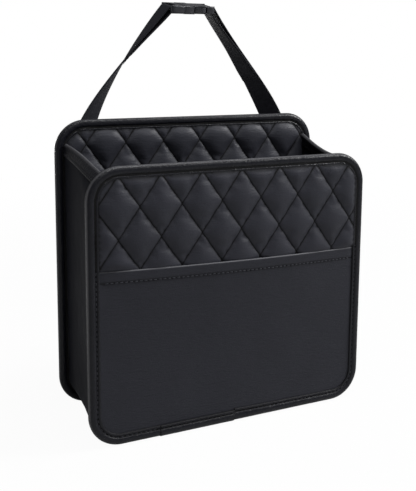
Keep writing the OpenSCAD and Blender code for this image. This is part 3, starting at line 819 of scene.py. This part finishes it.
def make_gusset_tape(side, name):
    """The tape folded over the top end of the gusset."""
    down = [hem_w, hem_w - 0.4, hem_w * 0.8, hem_w * 0.6, hem_w * 0.4, hem_w * 0.2, 0.0]
    plump = [0.0, 0.25, 0.35, 0.3, 0.4, 0.45, 0.2]
    rings, columns = [], 36
    for i in range(columns + 1):
        v = i / columns
        outer = [side_point(side, v, s, -tape_gap - tape_t - p) for s, p in zip(down, plump)]
        top = [side_point(side, v, -0.9, -0.6), side_point(side, v, -1.3, gusset_t / 2),
               side_point(side, v, -0.9, gusset_t + 0.6)]
        inner = [side_point(side, v, s, gusset_t + tape_gap + tape_t + p)
                 for s, p in zip(reversed(down), reversed(plump))]
        hollow = [side_point(side, v, s, gusset_t + tape_gap) for s in (hem_w, 3.0, 0.0)]
        hollow += [side_point(side, v, s, -tape_gap) for s in (0.0, 3.0, hem_w)]
        rings.append(outer + top + inner + hollow)
    points, faces = loft(rings, caps=True)
    # Painted shade at the tape's lower edge and along its stitch line; painted highlight along its
    # folded top.
    face = [0.5, 0.0, 0.6, 0.0, 0.0, 0.0, -0.25]
    painted_shading = (face + [-0.5, -0.3, -0.5] + list(reversed(face)) + [0.0] * 6) * (columns + 1)
    return new_piece(name, points, faces, binding_leather, sharp=60,
                     painted_shading=painted_shading)


for side, name in ((-1, "left"), (1, "right")):
    tape = make_gusset_tape(side, f"{name}_gusset_tape")
    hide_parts(f"gusset_tape_{name}")
    places = []
    for i in range(24):
        v = mix(0.03, 0.97, i / 23)
        for d, turn in ((-1.15, 1), (gusset_t + 1.15, -1)):
            p = Vector(side_point(side, v, tape_seam, d))
            q = Vector(side_point(side, v + 0.01, tape_seam, d))
            deeper = Vector(side_point(side, v, tape_seam, d - turn))
            places.append((p, q - p, deeper - p))
    make_thread(f"{name}_gusset_tape_stitches", places)


# Straps

strap_w, strap_t, sewn_len = 20.0, 1.4, 22.0
bar_r, wrap_gap = 1.3, 0.15
bar_axis = Vector((0, math.cos(buckle_tilt), math.sin(buckle_tilt)))
wrap_r = bar_r + wrap_gap + strap_t / 2
foot_z, left_anchor, right_anchor = 225.0, 25.0 - half_w, half_w - 32.0
turn_power = {-1: 1.55, 1: 1.5}
free_steps, bar_steps, tail_step = 70, 16, 2
side_row, row_pitch = 7.6, 3.6


def turn_at(side, t):
    """How far the webbing has turned on its way up, in radians."""
    return math.radians(90 * (1 - (1 - t) ** turn_power[side]))


def across_at(side, along, t):
    """The direction across the webbing."""
    inner = side * Vector((-along.z, 0, along.x)).normalized()
    w = math.cos(turn_at(side, t)) * inner + math.sin(turn_at(side, t)) * bar_axis
    return (w - w.dot(along) * along).normalized()


def end_thickness(left):
    """The webbing's thickness near its tail's heat-pressed end, left mm before it."""
    return strap_t * mix(0.3, 1.0, smooth(left / 12.0))


def strap_route(side, anchor_x, lead, bar_x, rise, reach, tail, closing):
    """(middle, across, along, run) for each ring of a strap, run being a length in mm: sewn
    part, free part, turn round the buckle's bar, and tail, which closes on the strap."""
    rise = math.radians(rise)
    end_dir = Vector((-side * math.cos(rise), -math.sin(rise) * math.sin(buckle_tilt),
                      math.sin(rise) * math.cos(buckle_tilt)))
    bar = Vector((bar_x, buckle_back, buckle_z))
    out = side * bar_axis.cross(end_dir)
    top = bar + wrap_r * out
    foot = Vector((anchor_x, panel_t + strap_t / 2, foot_z))
    c = [foot, foot + Vector(lead), top - end_dir * reach, top]
    length = (c[3] - c[0]).length

    def place(t):
        return (c[0] * (1 - t) ** 3 + c[1] * 3 * t * (1 - t) ** 2
                + c[2] * 3 * t * t * (1 - t) + c[3] * t ** 3)

    def way(t):
        return (((c[1] - c[0]) * (1 - t) ** 2 + (c[2] - c[1]) * 2 * t * (1 - t)
                 + (c[3] - c[2]) * t * t)).normalized()

    up = Vector((0, 0, 1))
    route = [(foot - up * (sewn_len - sewn_len * i / 8), across_at(side, up, 0), up)
             for i in range(9)]
    for i in range(1, free_steps + 1):
        t = i / free_steps
        route.append((place(t), across_at(side, way(t), t), way(t)))
    for i in range(1, bar_steps + 1):
        a = math.pi * i / bar_steps
        route.append((bar + wrap_r * (out * math.cos(a) + end_dir * math.sin(a)), bar_axis,
                      end_dir * math.cos(a) - out * math.sin(a)))
    steps = max(8, round(tail / tail_step))
    for i in range(1, steps + 1):
        s = tail * i / steps
        t = 1 - s / length
        w = across_at(side, way(t), t)
        thick = end_thickness(tail - s)
        apart = mix(2 * wrap_r, strap_t + wrap_gap, smooth(s / closing))
        apart -= (strap_t - thick) / 2
        route.append((place(t) - side * w.cross(way(t)) * apart, w, -way(t)))
    rings, run, last = [], 0.0, None
    for middle, w, d in route:
        run += (middle - last).length if last else 0.0
        last = middle
        rings.append((middle + Vector((0, back_face_y, 0)), w, d, run))
    return rings


def make_strap(name, route):
    """Flat webbing with rounded selvedges."""
    half = [(-1.0, 0.0), (-0.985, 0.62), (-0.95, 0.9), (-0.6, 0.98), (0.0, 1.0), (0.6, 0.98),
            (0.95, 0.9), (0.985, 0.62)]
    section = half + [(-a, -b) for a, b in half]
    rings, uv = [], []
    for middle, w, d, run in route:
        n = w.cross(d)
        thick = end_thickness(route[-1][3] - run)
        rings.append([tuple(middle + w * (a * strap_w / 2) + n * (b * thick / 2))
                      for a, b in section])
        uv += [(a * strap_w / 2 * mm, run * mm) for a, b in section]
    points, faces = loft(rings, caps=True)
    return new_piece(name, points, faces, strap_webbing, None, uv, sharp=50)


def strap_stitches(route, rows):
    """Stitch places on both faces of the webbing; each row is (first, last, across), from one
    run to another, and goes across the webbing or along both of its sides. A row keeps to one
    level, the one for the webbing's thickness at its last stitch."""
    places = []
    for first, last, across in rows:
        inside = [r for r in route if first <= r[3] <= last]
        if across:
            middle, w, d, run = inside[0]
            marks = [(middle, w, d, w, 6.0 * i) for i in (-1.2, -0.6, 0, 0.6, 1.2)]
        else:
            count = max(2, round((last - first) / row_pitch))
            marks = []
            for i in range(count):
                run = mix(first, last, (i + 0.5) / count)
                middle, w, d, _ = min(route, key=lambda r: abs(r[3] - run))
                marks += [(middle, w, d, d, edge) for edge in (-side_row, side_row)]
        level = end_thickness(route[-1][3] - run) / 2 + 0.12
        for middle, w, d, along, shift in marks:
            n = w.cross(d)
            for face in (1, -1):
                places.append((middle + w * shift + n * (face * level), along, n * face))
    return places


routes = {
    "left": strap_route(-1, anchor_x=left_anchor, lead=(3, 13.5, 33), bar_x=-21.6, rise=51,
                        reach=40, tail=61, closing=60),
    "right": strap_route(1, anchor_x=right_anchor, lead=(0, 9, 33), bar_x=18.9, rise=56,
                         reach=55, tail=70, closing=46),
}
strap_pieces = {}
for name, route in routes.items():
    strap = make_strap(f"{name}_strap_webbing", route)
    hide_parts(f"strap_{name}")
    whole = route[-1][3]
    rows = [(2.0, 20.0, False), (2.0, 20.0, True), (20.0, 24.0, True),
            (whole - 22.0, whole - 3.0, False), (whole - 22.0, whole - 18.0, True),
            (whole - 3.5, whole, True)]
    points, faces = stitch_row(strap_stitches(route, rows), (2.6, 0.4))
    sewing = new_piece(f"{name}_strap_stitches", points, faces, strap_thread, None,
                       sharp=0)
    strap_pieces[name] = (strap, sewing)
for piece in strap_pieces["right"]:
    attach(piece, "bag")
for piece in strap_pieces["left"]:
    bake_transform(piece)


# Buckle: the moulded parts keep their exact shapes and get softened edges

def soften_moulding(node, name, width):
    """A copy of a moulded part with small rounded edges."""
    source = nodes[node]
    piece = bpy.data.objects.new(name, source.data.copy())
    bpy.context.scene.collection.objects.link(piece)
    piece.data.materials.clear()
    piece.data.materials.append(black_plastic)
    finish_modifier(piece, "WELD", merge_threshold=0.02 * mm)
    finish_modifier(piece, "DECIMATE", decimate_type="DISSOLVE", angle_limit=math.radians(0.8))
    finish_modifier(piece, "BEVEL", width=width * mm, segments=2, limit_method="ANGLE",
                    angle_limit=math.radians(35), use_clamp_overlap=True)
    finish_modifier(piece, "WELD", merge_threshold=0.005 * mm)
    piece.data.shade_smooth()
    piece.data.set_sharp_from_angle(angle=math.radians(35))
    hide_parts(node)
    return piece


for node, body, width in (("buckle_socket", "bag", 0.3), ("buckle_plug", "plug", 0.3),
                          ("prong_front", "front_arm", 0.35), ("prong_rear", "rear_arm", 0.35)):
    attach(soften_moulding(node, f"{node}_moulding", width), body)


# Plain sheets: rear cover and front lining

def make_plain_sheet(name, node, h, rear_y, finish):
    """A thin sheet glued over the board, slightly uneven, with its puffs towards the rear."""
    inset, step, rear_level, sheet_t = 3.0, 3.0, 1.5, 0.7
    w = half_w - inset
    columns, rows = round(2 * w / step), round((h - 2 * inset) / step)
    rings = []
    for i in range(columns + 1):
        x = mix(-w, w, i / columns)
        low, high = corner_r - corner_reach(x, inset), h - corner_r + corner_reach(x, inset)
        ring = []
        for j in range(rows + 1):
            z = mix(low, high, j / rows)
            free = smooth(inside_binding(x, z, h) / 12)
            puff = 0.35 + 0.18 * ripple(x, 0, z, 45.0, 6.1) + 0.05 * ripple(x, 0, z, 9.0, 2.9)
            ring.append(on_panel(rear_y, x, z, rear_level - free * puff))
        rings.append(ring)
    points, faces = loft(rings, closed_ring=False)
    piece = new_piece(name, points, faces, finish, sharp=0)
    finish_modifier(piece, "SOLIDIFY", thickness=sheet_t * mm, offset=-1)
    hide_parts(node)
    return piece


rear_cover = make_plain_sheet("rear_cover_sheet", "back_cover", back_h, back_rear_y,
                              plain_leather)
inner_lining = make_plain_sheet("front_lining_sheet", "front_lining", front_h, front_rear_y,
                                lining_cloth)

hidden_finish = {"back_board": board_fibre, "front_board": board_fibre, "back_foam": foam_cells,
                 "front_foam": foam_cells, "front_pocket_backing": lining_cloth}
for name, node in nodes.items():
    node.data.materials.clear()
    node.data.materials.append(hidden_finish.get(name, plain_leather))


# Camera, from the photograph's viewing angle

camera_place = Vector((-296.3, -622.6, 314.9)) * mm
camera_yaw, camera_pitch, camera_roll = (math.radians(a) for a in (25.40, 8.40, 0.40))
focal_pixels, image_height = 792.5, 491


def make_camera():
    """The camera, aimed by its yaw, pitch and roll."""
    ahead = Vector((math.sin(camera_yaw) * math.cos(camera_pitch),
                    math.cos(camera_yaw) * math.cos(camera_pitch),
                    -math.sin(camera_pitch)))
    side = Vector((math.cos(camera_yaw), -math.sin(camera_yaw), 0))
    above = side.cross(ahead)
    turned_side = math.cos(camera_roll) * side + math.sin(camera_roll) * above
    turned_above = math.cos(camera_roll) * above - math.sin(camera_roll) * side
    data = bpy.data.cameras.new("camera")
    data.lens = focal_pixels * 36 / image_height
    data.sensor_width = 36
    data.shift_y = -0.16
    camera = bpy.data.objects.new("camera", data)
    bpy.context.scene.collection.objects.link(camera)
    axes = Matrix((turned_side, turned_above, -ahead)).transposed()
    camera.matrix_world = Matrix.Translation(camera_place) @ axes.to_4x4()
    bpy.context.scene.camera = camera


make_camera()


# Floor and light

def background_rays(tree):
    """Whole for camera and transmission rays, part for glossy ones."""
    rays = tree.nodes.new("ShaderNodeLightPath")
    part = add_node(tree, "ShaderNodeMath", operation="MULTIPLY")
    part.inputs[1].default_value = 0.12
    tree.links.new(rays.outputs["Is Glossy Ray"], part.inputs[0])
    seen = rays.outputs["Is Camera Ray"]
    for other in (rays.outputs["Is Transmission Ray"], part.outputs[0]):
        largest = add_node(tree, "ShaderNodeMath", operation="MAXIMUM")
        tree.links.new(seen, largest.inputs[0])
        tree.links.new(other, largest.inputs[1])
        seen = largest.outputs[0]
    return seen


def make_floor():
    """A pale floor that keeps the bag's shadow."""
    bpy.ops.mesh.primitive_plane_add(size=8, location=(0, 0, -0.0004))
    floor = bpy.context.object
    floor.name = "floor"
    material, tree, shader = new_material("pale floor", 0.9, 0.1)
    shader.inputs["Base Color"].default_value = (0.5, 0.5, 0.5, 1)
    white = tree.nodes.new("ShaderNodeEmission")
    place = tree.nodes.new("ShaderNodeTexCoord").outputs["Object"]
    away = add_node(tree, "ShaderNodeVectorMath", operation="LENGTH")
    far = add_node(tree, "ShaderNodeMapRange", interpolation_type="SMOOTHSTEP")
    for socket, value in zip(("From Min", "From Max", "To Min", "To Max"), (0.35, 1.3, 0.96, 1.0)):
        far.inputs[socket].default_value = value
    tree.links.new(place, away.inputs[0])
    tree.links.new(away.outputs["Value"], far.inputs["Value"])
    share = add_node(tree, "ShaderNodeMath", operation="MULTIPLY")
    tree.links.new(far.outputs["Result"], share.inputs[1])
    cover = tree.nodes.new("ShaderNodeMixShader")
    tree.links.new(background_rays(tree), share.inputs[0])
    tree.links.new(share.outputs[0], cover.inputs["Fac"])
    tree.links.new(shader.outputs[0], cover.inputs[1])
    tree.links.new(white.outputs[0], cover.inputs[2])
    tree.links.new(cover.outputs[0], tree.nodes["Material Output"].inputs["Surface"])
    floor.data.materials.append(material)


def make_lamp(name, place, aim, size, power):
    """A large soft lamp aimed at a point."""
    data = bpy.data.lights.new(name, "AREA")
    data.shape = "RECTANGLE"
    data.size, data.size_y = size
    data.energy = power
    lamp = bpy.data.objects.new(name, data)
    bpy.context.scene.collection.objects.link(lamp)
    lamp.location = place
    lamp.rotation_euler = (Vector(aim) - Vector(place)).to_track_quat("-Z", "Y").to_euler()


def make_world():
    """A pale even world, white behind the bag."""
    world = bpy.data.worlds.new("studio")
    bpy.context.scene.world = world
    world.use_nodes = True
    tree = world.node_tree
    ground = tree.nodes["Background"]
    ground.inputs["Color"].default_value = (1, 1, 1, 1)
    ground.inputs["Strength"].default_value = 0.08
    white = tree.nodes.new("ShaderNodeBackground")
    white.inputs["Color"].default_value = (1, 1, 1, 1)
    cover = tree.nodes.new("ShaderNodeMixShader")
    tree.links.new(background_rays(tree), cover.inputs["Fac"])
    tree.links.new(ground.outputs[0], cover.inputs[1])
    tree.links.new(white.outputs[0], cover.inputs[2])
    tree.links.new(cover.outputs[0], tree.nodes["World Output"].inputs["Surface"])


make_floor()
make_world()
make_lamp("key lamp", (1.75, -0.75, 1.45), (0, 0, 0.15), (0.7, 0.7), 66)
make_lamp("front lamp", (-0.3, -1.5, 1.5), (0, 0, 0.15), (1.0, 1.0), 7)
make_lamp("top lamp", (0.2, -0.35, 1.8), (0, 0, 0.2), (1.4, 0.2), 24)
make_lamp("left lamp", (-1.9, 0.45, 0.25), (0, 0, 0.15), (0.3, 1.0), 4)
make_lamp("rear lamp", (0.25, 1.7, 0.12), (0, 0.05, 0.1), (0.8, 0.2), 8)
bpy.context.scene.view_settings.view_transform = "Standard"
